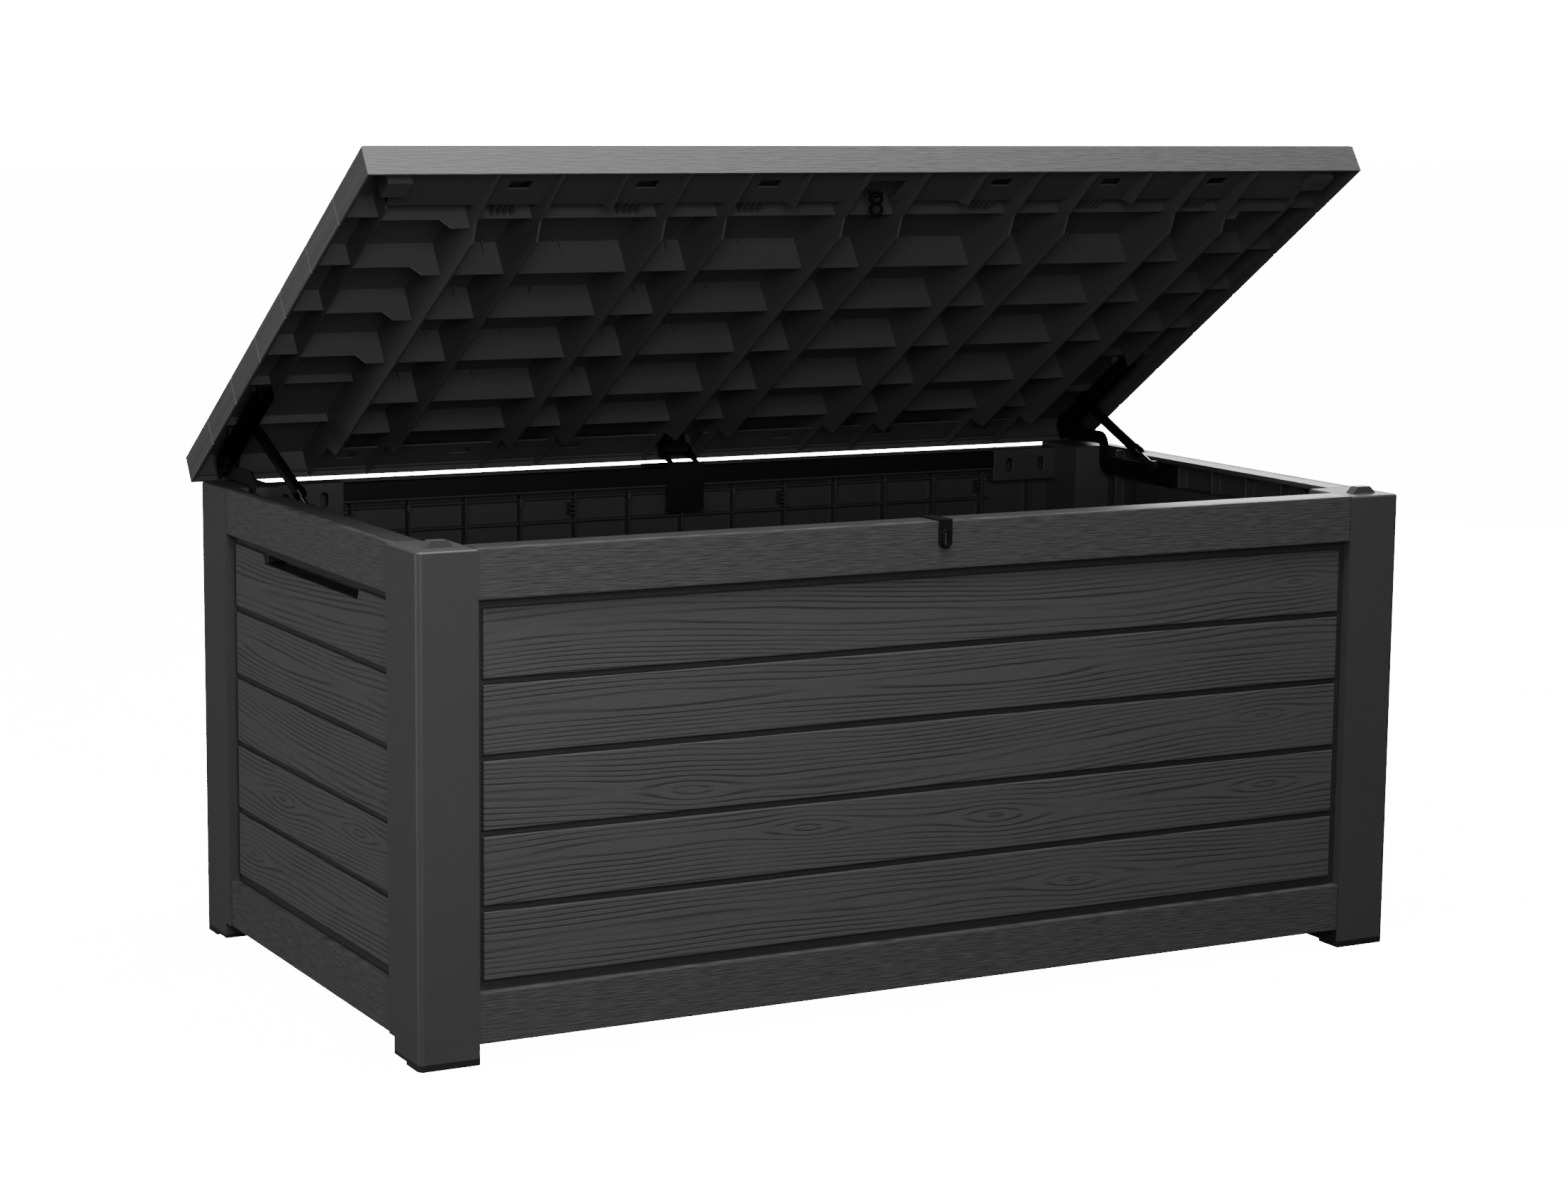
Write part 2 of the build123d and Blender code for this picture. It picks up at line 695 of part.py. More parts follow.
def gusset_places(long_places, short_places):
    """One small gusset in the middle of each wide bay between long ribs, and two in each narrow one."""
    edges = sorted(long_places)
    places = list(short_places)
    for left, right in zip(edges, edges[1:]):
        middle = (left + right) / 2
        if middle not in short_places:
            places += [middle - rib_pitch_lid / 4, middle + rib_pitch_lid / 4]
    return places


def strip_slot_places():
    """Middles of the slotted bays, every second bay out from the middle of the lid."""
    places = []
    place = 2 * rib_pitch_lid
    while place < lid_half - end_bay:
        places += [-place, place]
        place += 2 * rib_pitch_lid
    return places


def lid_strip(end, low, high, slot_rows, slot_places, notch):
    """Slotted plate under the deck along the front or rear edge, notched for a hinge leaf or the lock."""
    top = lid_under - strip_drop + strip_plate
    bars(lid_plane, lid_under - strip_drop, top, [(-end, end, low, high)])
    holes = [notch]
    for row, length, width in slot_rows:
        holes += [(place - length / 2, place + length / 2, row - width / 2, row + width / 2)
                  for place in slot_places]
    bars(lid_plane, lid_under - strip_drop, top, holes, Mode.SUBTRACT)


def lid_edge_strips(slot_places, first_joint):
    """Front and rear strip plates, and the fins in the channel behind the front one."""
    front_row = lid_front + strip_slot_setback
    edge_row = lid_front + edge_slot_setback
    rear_row = lid_rear - strip_slot_setback
    lock_half = lock_width / 2 + notch_clear
    leaf_half = centre_width / 2 + notch_clear
    channel = lid_front + front_plate
    front_end = lid_half - end_wall_inset + cross_rib
    rear_end = max(rib_places()[0])
    lock_notch = lid_front + lock_from_front + lock_depth / 2 - bail_length - notch_clear
    lid_strip(front_end, lid_front + lid_skin, channel,
              [(front_row, strip_slot_length, strip_slot_width),
               (edge_row, edge_slot_length, edge_slot_width)],
              slot_places, (-lock_half, lock_half, lock_notch, channel))
    lid_strip(rear_end, lid_rear - rear_plate, lid_rear - lid_skin,
              [(rear_row, strip_slot_length, strip_slot_width)],
              slot_places, (-leaf_half, leaf_half, lid_rear - rear_plate, lid_rear - lid_skin))
    fins = []
    for place in slot_places:
        for index in range(channel_fins):
            x = place + (index - (channel_fins - 1) / 2) * channel_fin_pitch
            fins.append((x - cross_rib / 2, x + cross_rib / 2, channel, first_joint))
    bars(lid_plane, lid_under - strip_drop, lid_under, fins)


def lid_end_bay(side, joints):
    """Stepped cross ribs, end wall and webs between the outer long rib and the side skirt."""
    inner = max(rib_places()[0])
    end_wall = lid_half - end_wall_inset
    skirt = lid_half - lid_skin
    clear_of_bar = -bar_length - notch_clear
    chamfer_end = inner + end_step + cross_rib_depth - end_step_depth
    outline = [(inner, lid_under), (inner, lid_under - cross_rib_depth),
               (inner + end_step, lid_under - cross_rib_depth), (chamfer_end, lid_under - end_step_depth),
               (end_wall, lid_under - end_step_depth), (end_wall, lid_under)]
    stepped = [joint for joint in joints if joint < clear_of_bar]
    plate([lid_cross(joint + cross_rib / 2) for joint in stepped], cross_rib,
          [(side * x, w) for x, w in outline])
    wall = (side * end_wall, side * (end_wall + cross_rib))
    bars(lid_plane, lid_under - end_step_depth, lid_under,
         [(min(wall), max(wall), lid_front + front_plate, clear_of_bar)])
    web = (side * end_wall, side * skirt)
    bars(lid_plane, lid_under - end_web_depth, lid_under,
         [(min(web), max(web), joint - cross_rib / 2, joint + cross_rib / 2) for joint in stepped])
    low = (side * inner, side * skirt)
    bars(lid_plane, lid_under - end_rib_depth, lid_under,
         [(min(low), max(low), joint - cross_rib / 2, joint + cross_rib / 2)
          for joint in joints if joint >= clear_of_bar])


def lid_skirt_details(joints):
    """Grooves down both side skirts at the board joints, and a small lip round the skirts' inner face."""
    with BuildSketch(lid_plane.offset(lid_low)) as grooves:
        for joint in joints:
            for side in (-1, 1):
                with BuildLine():
                    Polyline((side * lid_half, joint - groove_width / 2),
                             (side * (lid_half - skirt_groove), joint),
                             (side * lid_half, joint + groove_width / 2), close=True)
                make_face()
    extrude(grooves.sketch, amount=lid_height, mode=Mode.SUBTRACT)
    front = lid_front + lid_skin
    rear = lid_rear - lid_skin
    skirt = lid_half - lid_skin
    bars(lid_plane, lid_low + skirt_lip_rise, lid_low + skirt_lip_rise + cross_rib,
         [(-skirt, skirt, front, front + skirt_lip), (-skirt, skirt, rear - skirt_lip, rear),
          (-skirt, skirt_lip - skirt, front, rear), (skirt - skirt_lip, skirt, front, rear)])


def lid_moulding():
    """Lid shell of seven boards, with skirts, deep ribs front to back and shallower ones across."""
    board = (lid_rear - lid_front) / lid_boards
    joints = [lid_front + index * board for index in range(1, lid_boards)]
    long_places, short_places = rib_places()
    inner_front = lid_front + lid_skin
    inner_rear = lid_rear - lid_skin
    deep = lid_under - rib_depth
    shallow = lid_under - strip_rib_depth
    fallen = shallow - strip_rib_fall
    inner_x = max(long_places)
    end_x = lid_half - lid_skin
    with BuildPart() as lid:
        bars(lid_plane, lid_low, lid_top, [(-lid_half, lid_half, lid_front, lid_rear)])
        chamfer(lid.faces().sort_by(Axis(lid_plane.origin, lid_plane.z_dir))[-1].edges(), lid_edge)
        bars(lid_plane, lid_low, lid_under, [(-end_x, end_x, inner_front, inner_rear)], Mode.SUBTRACT)
        for joint in joints:
            plate([lid_side(-lid_half)], 2 * lid_half,
                  [(joint - groove_width / 2, lid_top), (joint, lid_top - groove_depth),
                   (joint + groove_width / 2, lid_top)], Mode.SUBTRACT)
        lid_skirt_details(joints)
        lid_edge_strips(strip_slot_places(), joints[0])
        plate([lid_side(place - long_rib / 2) for place in long_places], long_rib,
              [(inner_front, lid_under), (inner_front, shallow), (lid_front + front_strip, fallen),
               (lid_front + front_strip + shoulder, deep), (lid_rear - rear_strip - shoulder, deep),
               (lid_rear - rear_strip, shallow), (inner_rear, shallow), (inner_rear, lid_under)])
        short_planes = [lid_side(place - cross_rib / 2) for place in short_places]
        plate(short_planes, cross_rib,
              [(inner_front, lid_under), (inner_front, shallow), (lid_front + short_rib_length, fallen),
               (lid_front + front_plate, lid_under - strip_drop), (lid_front + front_plate, lid_under)])
        bars(lid_plane, lid_under - cross_rib_depth, lid_under,
             [(-inner_x, inner_x, joint - cross_rib / 2, joint + cross_rib / 2) for joint in joints[1:-1]])
        bars(lid_plane, lid_under - channel_rib_depth, lid_under,
             [(-inner_x, inner_x, joint - cross_rib / 2, joint + cross_rib / 2)
              for joint in (joints[0], joints[-1])])
        gussets = [lid_side(place - cross_rib / 2) for place in gusset_places(long_places, short_places)]
        for joint in joints[1:-1]:
            plate(gussets, cross_rib,
                  [(joint, lid_under), (joint - gusset_reach, lid_under), (joint, lid_under - gusset_depth)])
        for side in (-1, 1):
            lid_end_bay(side, joints)
            pad = side * (half_length - post_width / 2)
            bars(lid_plane, lid_low, lid_under,
                 [(pad - pad_size / 2, pad + pad_size / 2,
                   inner_front + pad_inset, inner_front + pad_inset + pad_size)])
        bosses = [(side * bar_x, -bar_length * place) for side in (-1, 1) for place in bar_screw_places]
        discs(lid_plane, bar_top, lid_under, boss_radius, bosses)
    return lid.part


def hasp_strap():
    """Steel strap hooked over the front rim, with a rounded end and a raised oval eye outside."""
    face = y_front + rail_back
    inner = y_front + wall_back
    half = strap_width / 2
    eye_height = rim_height - strap_drop + eye_rim + strap_eye_height / 2 + strap_sheet
    with BuildPart() as strap:
        bars(Plane.XY, rim_height, rim_height + strap_sheet,
             [(-half, half, face - strap_sheet, inner + strap_sheet)])
        bars(Plane.XY, rim_height - rim_lip, rim_height, [(-half, half, inner, inner + strap_sheet)])
        with BuildSketch(front_wall.offset(-rail_back)) as outline:
            with Locations((0, rim_height - (strap_drop - half) / 2)):
                Rectangle(strap_width, strap_drop - half)
            with Locations((0, rim_height - strap_drop + half)):
                Circle(half)
        extrude(outline.sketch, amount=strap_sheet)
        with BuildSketch(front_wall.offset(strap_sheet - rail_back)) as rim:
            with Locations((0, eye_height)):
                SlotOverall(strap_eye_height + 2 * eye_rim, strap_eye + 2 * eye_rim, rotation=90)
        extrude(rim.sketch, amount=eye_rim)
        with BuildSketch(front_wall.offset(-rail_back)) as hole:
            with Locations((0, eye_height)):
                SlotOverall(strap_eye_height, strap_eye, rotation=90)
        extrude(hole.sketch, amount=strap_sheet + eye_rim, mode=Mode.SUBTRACT)
    return strap.part


def lock_axis():
    """Bail axis in the lid's own plane."""
    return lid_front + lock_from_front + lock_depth / 2, lid_under - lock_height + 3 * wire_radius


def lock_bracket():
    """Steel bracket under the lid's front strip, with two lugs bored for the bail."""
    rearward, upward = lock_axis()
    front = lid_front + lock_from_front
    lug_out = bail_width / 2 + 2 * wire_radius + lug_thickness
    lug_in = lug_out - lug_thickness
    hole = wire_radius + pin_play
    with BuildPart() as bracket:
        bars(lid_plane, lid_under - plate_thickness, lid_under,
             [(-lock_width / 2, lock_width / 2, front, front + lock_depth)])
        for low, high in ((-lug_out, -lug_in), (lug_in, lug_out)):
            bars(lid_plane, upward, lid_under - plate_thickness,
                 [(low, high, rearward - 2 * hole, rearward + 2 * hole)])
            discs(lid_side(low), 0, high - low, 2 * hole, [(rearward, upward)])
            discs(lid_side(low), 0, high - low, hole, [(rearward, upward)], Mode.SUBTRACT)
    return bracket.part


def bail():
    """Wire bail that hangs straight down from the lugs, with its ends turned out into them."""
    y_axis, z_axis = lid_point(*lock_axis())
    end = bail_width / 2 + 2 * wire_radius + lug_thickness + stud_gap
    leg = bail_width / 2
    bend = 2 * wire_radius
    bow = leg - stud_gap
    with BuildPart() as wire:
        with BuildLine(Plane(origin=(0, y_axis, z_axis), x_dir=(1, 0, 0), z_dir=(0, -1, 0))) as path:
            FilletPolyline((-end, 0), (-leg, 0), (-leg, -bail_length),
                           (leg, -bail_length), (leg, 0), (end, 0), radius=[bend, bow, bow, bend])
        with BuildSketch(Plane(origin=(-end, y_axis, z_axis), z_dir=(1, 0, 0))):
            RegularPolygon(wire_radius, wire_sides)
        sweep(path=path.line)
    return wire.part


def lock_link():
    """Flat link with two holes, hanging on the bail's lower run."""
    y_axis, z_axis = lid_point(*lock_axis())
    wire_z = z_axis - bail_length
    upper = wire_z + wire_radius + link_play - link_hole
    turn = radians(link_turn)
    face = Plane(origin=(0, y_axis, upper), x_dir=(-sin(turn), cos(turn), 0), z_dir=(cos(turn), sin(turn), 0))
    with BuildPart() as link:
        with BuildSketch(face.offset(-link_thickness / 2)):
            with Locations((0, 0), (0, -link_pitch)):
                Circle(link_radius)
            with Locations((0, 0), (0, -link_pitch)):
                Circle(link_hole, mode=Mode.SUBTRACT)
        extrude(amount=link_thickness)
    return link.part


def plate_screws():
    """Hexagon screw heads that hold both hinge plates to the side walls."""
    top = rim_height - plate_drop
    rear = y_rear - post_depth - neck_clear
    places = [(rear - plate_length * share, top - plate_height / 2) for share in plate_screw_shares]
    with BuildPart() as screws:
        for side in (-1, 1):
            inner = side * (plate_x - plate_thickness)
            head = inner - side * screw_head_height
            with BuildSketch(side_view(min(inner, head))) as heads:
                with Locations(*places):
                    RegularPolygon(screw_head_radius, screw_head_sides)
            extrude(heads.sketch, amount=screw_head_height)
    return screws.part


os.makedirs("parts", exist_ok=True)

for side_name, side in sides:
    for end_name, end in (("front", -1), ("rear", 1)):
        save(corner_post(side, end), f"post_{end_name}_{side_name}")
        save(foot_cap(side, end), f"foot_cap_{end_name}_{side_name}")
    save(floor_panel(side), f"floor_{side_name}")
    save(hinge_plate(side), f"hinge_plate_{side_name}")
    save(hinge_pin(side), f"hinge_pin_{side_name}")
    save(lid_bar(side), f"lid_bar_{side_name}")
    save(strut_tube(side), f"strut_tube_{side_name}")
    save(strut_rod(side), f"strut_rod_{side_name}")
save(front_wall_panel(), "front_panel")
save(rear_wall_panel(), "rear_panel")
save(side_wall_panel(left_wall, -1), "side_panel_left")
save(side_wall_panel(right_wall, 1), "side_panel_right")
save(steel_beam(), "rear_beam")
save(centre_hinge_base(), "centre_hinge_base")
save(centre_pin(), "centre_hinge_pin")
save(centre_hinge_leaf(), "centre_hinge_leaf")
save(lid_moulding(), "lid_deck")
save(hasp_strap(), "hasp_strap")
save(lock_bracket(), "lock_bracket")
save(bail(), "lock_bail")
save(lock_link(), "lock_link")
save(plate_screws(), "hinge_plate_screws")
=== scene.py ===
import json
import math

import bpy
from mathutils import Matrix, Vector


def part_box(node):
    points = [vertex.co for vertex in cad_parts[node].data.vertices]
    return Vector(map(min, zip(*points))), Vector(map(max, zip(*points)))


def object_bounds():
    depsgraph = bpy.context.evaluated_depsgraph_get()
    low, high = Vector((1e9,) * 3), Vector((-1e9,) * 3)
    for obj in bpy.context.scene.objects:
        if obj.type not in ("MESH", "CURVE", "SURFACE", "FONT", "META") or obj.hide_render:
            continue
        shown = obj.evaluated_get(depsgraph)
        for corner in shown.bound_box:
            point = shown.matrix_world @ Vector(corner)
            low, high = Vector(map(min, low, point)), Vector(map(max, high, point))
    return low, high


# Deck storage box of moulded resin, standing open on a white studio floor. Metres, +Z up, front towards -Y.
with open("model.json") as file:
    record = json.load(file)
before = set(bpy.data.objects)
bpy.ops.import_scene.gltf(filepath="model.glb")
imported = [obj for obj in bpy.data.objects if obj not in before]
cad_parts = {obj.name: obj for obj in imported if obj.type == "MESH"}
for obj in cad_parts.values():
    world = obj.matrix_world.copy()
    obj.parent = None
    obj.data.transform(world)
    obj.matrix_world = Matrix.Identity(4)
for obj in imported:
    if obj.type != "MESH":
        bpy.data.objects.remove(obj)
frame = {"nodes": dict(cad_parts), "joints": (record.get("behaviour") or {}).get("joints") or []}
cad_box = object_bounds()
nodes = frame["nodes"]

# Walls: rails and boards up the outer face, and depths in from the posts' outer faces
TOP_RAIL = 0.064
BOTTOM_RAIL = 0.066
RAIL_GAP = 0.0117
BOARD_GAP = 0.0065
BOARD_COUNT = 5
WALL_DEPTH = 0.0175
# Past this depth the bottom of a gap is painted in shade
GAP_SHADE_DEPTH = 0.0145

# Lid: boards, thickness of the grained top, and depths in from its edges that count as skirt
LID_BOARDS = 7
LID_DECK = 0.003
LID_EDGE = 0.001
LID_END = 0.0025

# Rounding of the edges, height of the moulded grain, and grit of the sanded faces
BOARD_ROUND = 0.0035
LID_ROUND = 0.002
POST_ROUND = 0.0008
STEEL_ROUND = 0.001
WALL_RELIEF = 0.0006
LID_RELIEF = 0.0005
SAND_RELIEF = 0.00025
POST_GRIT = 0.0022
FLOOR_GRIT = 0.004
CAP_GRIT = 0.0025

# Greys of the mouldings: grain lines and ridges, painted shade at the bottom of the gaps, inner faces
WALL_LINE = "#262626"
WALL_RIDGE = "#484848"
# Painted shade at the bottom of the gaps between the boards
WALL_GAP_SHADE = "#242424"
WALL_INSIDE = "#333333"
LID_LINE = "#363636"
LID_RIDGE = "#525252"
LID_UNDERSIDE = "#414141"

# Polypropylene, and the samples that round an edge in the picture
RESIN_IOR = 1.49
ROUND_SAMPLES = 4

# Camera, as fitted to the photograph: image width, focal length in its pixels, place from the front left foot
PHOTO_WIDTH = 2212
FOCAL_PIXELS = 4776.9
SENSOR_WIDTH = 36.0
CAMERA_FROM_FOOT = Vector((-1.5345, -3.8043, 1.2237))
CAMERA_TURN = math.radians(28.23)
CAMERA_DIP = math.radians(8.49)
CAMERA_ROLL = math.radians(-0.58)

# White room behind the box, its light from below and above, and the lit paper under the box
ROOM_WHITE = 17.0
ROOM_DIM = 0.05
ROOM_BRIGHT = 0.14
DIM_HEIGHT = -0.4
BRIGHT_HEIGHT = 0.7
FLOOR_GLOW = 16.0
FLOOR_REACH = 40.0

# Softboxes: place, aim, width in metres and power in watts
SOFTBOXES = {
    "overhead_softbox": ((-0.3, -0.9, 4.2), (0, -0.1, 0.6), 2.6, 265),
    "left_softbox": ((-4.6, 0.8, 0.9), (0, 0, 0.6), 2.0, 82),
    "front_softbox": ((-1.4, -3.0, 1.4), (0, -0.4, 0.6), 1.4, 57),
    "rear_softbox": ((3.6, 3.4, 1.8), (0, 0, 0.5), 2.0, 120)}

# Places that the CAD frame gives
wall_low, wall_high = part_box("front_panel")
foot_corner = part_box("post_front_left")[0]
hinge = next(joint for joint in frame["joints"] if joint["name"] == "lid_hinge")
lid_angle = math.radians(hinge["range_deg"][1])
hinge_place = Vector(hinge["pos_m"])


def linear(hex_code):
    """Linear colour of an sRGB hex value."""
    shares = [int(hex_code[place:place + 2], 16) / 255 for place in (1, 3, 5)]
    return [share / 12.92 if share <= 0.04045 else ((share + 0.055) / 1.055) ** 2.4 for share in shares] + [1]


def add(tree, kind, inputs=None, **settings):
    """Adds a node with its settings, and sets or links its inputs. A node as input gives its first output."""
    node = tree.nodes.new(kind)
    for name, value in settings.items():
        setattr(node, name, value)
    for key, value in (inputs or {}).items():
        if isinstance(value, bpy.types.Node):
            value = value.outputs[0]
        if isinstance(value, bpy.types.NodeSocket):
            tree.links.new(value, node.inputs[key])
        else:
            node.inputs[key].default_value = value
    return node


def new_finish(name):
    """An empty material and its node tree."""
    material = bpy.data.materials.new(name)
    material.use_nodes = True
    material.node_tree.nodes.clear()
    return material, material.node_tree


def wood_relief(tree, along, across, row, width):
    """Height of the moulded wood grain: thin growth lines round a heart line, opening into eyes at the knots.

    Across counts in boards and row is its whole part, so that every board gets lines of its own.
    """
    ring_spacing = 0.0062
    heart_depth = 0.014
    heart_length = 0.9
    knot_spacing = 0.42
    knot_reach = 0.07
    knot_scatter = 0.9
    knots_left_out = 0.5
    drift_length = 0.32
    drift_width = 0.05
    swing = 2.6
    patch_length = 0.2
    patches_across = 2.2
    faintest = 0.4
    row_step = 7.3

    # The heart line wanders along each board, and off is the distance from it
    own = add(tree, "ShaderNodeMath", {0: row, 1: row_step}, operation="MULTIPLY")
    hearts_along = add(tree, "ShaderNodeMath", {0: along, 1: heart_length}, operation="DIVIDE")
    lane = add(tree, "ShaderNodeCombineXYZ", {0: hearts_along, 1: own})
    wander = add(tree, "ShaderNodeTexNoise", {"Vector": lane, "Scale": 1.0, "Detail": 0.0})
    heart = add(tree, "ShaderNodeMath", {0: wander, 1: row}, operation="ADD")
    boards_off = add(tree, "ShaderNodeMath", {0: across, 1: heart}, operation="SUBTRACT")
    off = add(tree, "ShaderNodeMath", {0: boards_off, 1: width}, operation="MULTIPLY")

    # Knots lie on the heart line at chance places, and near fades from 1 at a knot to 0 past its reach
    knots_along = add(tree, "ShaderNodeMath", {0: along, 1: 1 / knot_spacing, 2: own},
                      operation="MULTIPLY_ADD")
    knots = add(tree, "ShaderNodeTexVoronoi", {"W": knots_along, "Scale": 1.0, "Randomness": knot_scatter},
                voronoi_dimensions="1D")
    chance = add(tree, "ShaderNodeSeparateColor", {0: knots.outputs["Color"]})
    chosen = add(tree, "ShaderNodeMath", {0: chance, 1: knots_left_out}, operation="GREATER_THAN")
    reaches_away = add(tree, "ShaderNodeMath", {0: knots.outputs["Distance"], 1: knot_spacing / knot_reach},
                       operation="MULTIPLY")
    squared = add(tree, "ShaderNodeMath", {0: reaches_away, 1: 2.0}, operation="POWER")
    falling = add(tree, "ShaderNodeMath", {0: squared, 1: -1.0}, operation="MULTIPLY")
    bell = add(tree, "ShaderNodeMath", {0: falling}, operation="EXPONENT")
    near = add(tree, "ShaderNodeMath", {0: bell, 1: chosen}, operation="MULTIPLY")

    # Rings count by the distance from the heart, which lies deep in the wood and comes up at the knots
    sunk = add(tree, "ShaderNodeMath", {0: near, 1: -heart_depth ** 2, 2: heart_depth ** 2},
               operation="MULTIPLY_ADD")
    reach_squared = add(tree, "ShaderNodeMath", {0: off, 1: off, 2: sunk}, operation="MULTIPLY_ADD")
    reach = add(tree, "ShaderNodeMath", {0: reach_squared}, operation="SQRT")
    drift_along = add(tree, "ShaderNodeMath", {0: along, 1: drift_length}, operation="DIVIDE")
    drift_across = add(tree, "ShaderNodeMath", {0: across, 1: width / drift_width}, operation="MULTIPLY")
    drift_field = add(tree, "ShaderNodeCombineXYZ", {0: drift_along, 1: drift_across, 2: own})
    drift = add(tree, "ShaderNodeTexNoise", {
        "Vector": drift_field, "Scale": 1.0, "Detail": 1.5, "Roughness": 0.4})
    swung = add(tree, "ShaderNodeMath", {0: drift, 1: swing}, operation="MULTIPLY")
    rings = add(tree, "ShaderNodeMath", {0: reach, 1: 1 / ring_spacing, 2: swung}, operation="MULTIPLY_ADD")
    angle = add(tree, "ShaderNodeMath", {0: rings, 1: 2 * math.pi}, operation="MULTIPLY")
    wave = add(tree, "ShaderNodeMath", {0: angle}, operation="SINE")
    line = add(tree, "ShaderNodeMapRange", {0: wave, 1: -1.0, 2: -0.2})

    # Lines are fainter in patches, and run out over the heart line
    patch_along = add(tree, "ShaderNodeMath", {0: along, 1: patch_length}, operation="DIVIDE")
    patch_across = add(tree, "ShaderNodeMath", {0: across, 1: patches_across}, operation="MULTIPLY")
    patch_field = add(tree, "ShaderNodeCombineXYZ", {0: patch_along, 1: patch_across, 2: own})
    patch = add(tree, "ShaderNodeTexNoise", {"Vector": patch_field, "Scale": 1.0, "Detail": 1.0})
    strength = add(tree, "ShaderNodeMapRange", {0: patch, 1: 0.35, 2: 0.6, 3: faintest, 4: 1.0})
    apart = add(tree, "ShaderNodeMath", {0: off}, operation="ABSOLUTE")
    slope = add(tree, "ShaderNodeMath", {0: apart, 1: reach}, operation="DIVIDE")
    clear = add(tree, "ShaderNodeMapRange", {0: slope, 1: 0.05, 2: 0.55})
    shown = add(tree, "ShaderNodeMath", {0: strength, 1: clear}, operation="MULTIPLY")
    return add(tree, "ShaderNodeMix", {0: shown, 2: 1.0, 3: line})


def fibre_relief(tree, along, up, row):
    """Height of the fine brushed fibres, drawn about 2 mm wide so that they still show in the picture."""
    fibre_width = 0.0021
    fibre_length = 0.03
    lengths_along = add(tree, "ShaderNodeMath", {0: along, 1: fibre_length}, operation="DIVIDE")
    widths_up = add(tree, "ShaderNodeMath", {0: up, 1: fibre_width}, operation="DIVIDE")
    field = add(tree, "ShaderNodeCombineXYZ", {0: lengths_along, 1: widths_up, 2: row})
    fibres = add(tree, "ShaderNodeTexNoise", {"Vector": field, "Scale": 1.0, "Detail": 2.0})
    return add(tree, "ShaderNodeMapRange", {0: fibres, 1: 0.1, 2: 0.7})


def finish_resin(tree, tint, relief, relief_height, edge_round):
    """Matte polypropylene shader with rounded edges: a broad dull sheen, rough on the grain's ridges."""
    line_dull = 0.48
    ridge_dull = 0.62
    relief_strength = 0.7
    roughness = add(tree, "ShaderNodeMapRange", {0: relief, 3: line_dull, 4: ridge_dull})
    rounded = add(tree, "ShaderNodeBevel", {"Radius": edge_round}, samples=ROUND_SAMPLES)
    bump = add(tree, "ShaderNodeBump", {
        "Strength": relief_strength, "Distance": relief_height, "Height": relief, "Normal": rounded})
    shader = add(tree, "ShaderNodeBsdfPrincipled", {
        "Base Color": tint, "Roughness": roughness, "IOR": RESIN_IOR, "Normal": bump})
    add(tree, "ShaderNodeOutputMaterial", {"Surface": shader})


def wall_resin(name, along_axis, outer):
    """Polypropylene wall panel, injection moulded: matte anthracite, wood grain outside, plain within.

    Outer is where the posts' outer faces lie across the wall, from which the depths count.
    """
    grain_share = 0.7
    material, tree = new_finish(name)
    place = add(tree, "ShaderNodeSeparateXYZ", {0: add(tree, "ShaderNodeTexCoord").outputs["Object"]})
    along = place.outputs[along_axis]
    across = place.outputs[1 - along_axis]
    up = place.outputs[2]
    board_low = wall_low.z + BOTTOM_RAIL + RAIL_GAP - BOARD_GAP / 2
    board_high = wall_high.z - TOP_RAIL - RAIL_GAP + BOARD_GAP / 2
    pitch = (board_high - board_low) / BOARD_COUNT

    # Which board a point is on, and whether it is on the boards, on the outer face or at the bottom of a gap,
    # where shade is painted
    climb = add(tree, "ShaderNodeMath", {0: up, 1: board_low}, operation="SUBTRACT")
    boards_up = add(tree, "ShaderNodeMath", {0: climb, 1: pitch}, operation="DIVIDE")
    row = add(tree, "ShaderNodeMath", {0: boards_up}, operation="FLOOR")
    middle = add(tree, "ShaderNodeMath", {0: up, 1: (board_low + board_high) / 2}, operation="SUBTRACT")
    apart = add(tree, "ShaderNodeMath", {0: middle}, operation="ABSOLUTE")
    board = add(tree, "ShaderNodeMath", {0: apart, 1: (board_high - board_low) / 2}, operation="LESS_THAN")
    inward = add(tree, "ShaderNodeMath", {0: across, 1: outer}, operation="SUBTRACT")
    depth = add(tree, "ShaderNodeMath", {0: inward}, operation="ABSOLUTE")
    outside = add(tree, "ShaderNodeMath", {0: depth, 1: WALL_DEPTH}, operation="LESS_THAN")
    gap_shade = add(tree, "ShaderNodeMath", {0: depth, 1: GAP_SHADE_DEPTH}, operation="GREATER_THAN")

    grain = wood_relief(tree, along, boards_up, row, pitch)
    fibre = fibre_relief(tree, along, up, row)
    share = add(tree, "ShaderNodeMath", {0: board, 1: grain_share}, operation="MULTIPLY")
    mixed = add(tree, "ShaderNodeMix", {0: share, 2: fibre, 3: grain})
    relief = add(tree, "ShaderNodeMath", {0: mixed, 1: outside}, operation="MULTIPLY")
    grained = add(tree, "ShaderNodeMix", {0: relief, 6: linear(WALL_LINE), 7: linear(WALL_RIDGE)},
                  data_type="RGBA")
    # The bottom of each gap between boards is painted a darker grey as shade
    gap_shaded = add(tree, "ShaderNodeMix", {0: gap_shade, 6: grained.outputs[2], 7: linear(WALL_GAP_SHADE)},
                 data_type="RGBA")
    tint = add(tree, "ShaderNodeMix", {0: outside, 6: linear(WALL_INSIDE), 7: gap_shaded.outputs[2]},
               data_type="RGBA")
    finish_resin(tree, tint.outputs[2], relief, WALL_RELIEF, BOARD_ROUND)
    return material


